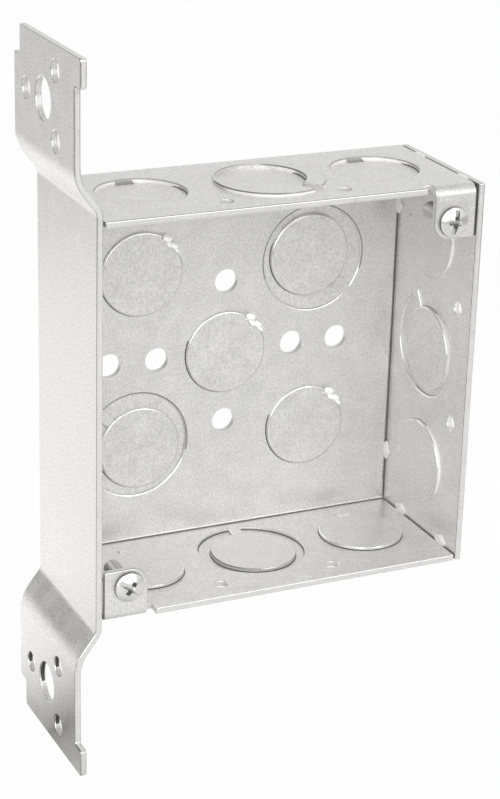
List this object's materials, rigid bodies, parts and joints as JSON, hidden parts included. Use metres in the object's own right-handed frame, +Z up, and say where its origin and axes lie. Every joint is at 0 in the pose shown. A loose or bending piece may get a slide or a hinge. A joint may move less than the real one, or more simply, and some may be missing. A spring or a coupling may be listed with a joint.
{
  "type": "square electrical box",
  "caption": "Square sheet-steel wiring box with knockouts, cover-screw ears and an offset strap bracket that holds it to the side of a stud.",
  "frame": {"origin": "in the stud face of the bracket, midway between its two large screw holes", "axes": "+X from the stud into the box, +Y from the open front to the back, +Z up along the bracket"},
  "size_m": [0.1079, 0.046, 0.1796],
  "materials": {
    "galvanized_sheet": "galvanized, satin",
    "galvanized_strap": "galvanized, satin",
    "zinc_screw": "bright zinc plating"
  },
  "bodies": {
    "box": {"box_wrap": "galvanized_sheet", "side_plate": "galvanized_sheet", "stud_bracket": "galvanized_strap"},
    "upper_screw": {"upper_cover_screw": "zinc_screw"},
    "lower_screw": {"lower_cover_screw": "zinc_screw"}
  },
  "joints": [
    {"name": "upper_screw_travel", "type": "slide", "parent": "box", "child": "upper_screw", "axis": [0, -1, 0], "range_m": [0, 0.006]},
    {"name": "lower_screw_travel", "type": "slide", "parent": "box", "child": "lower_screw", "axis": [0, -1, 0], "range_m": [0, 0.006]}
  ]
}
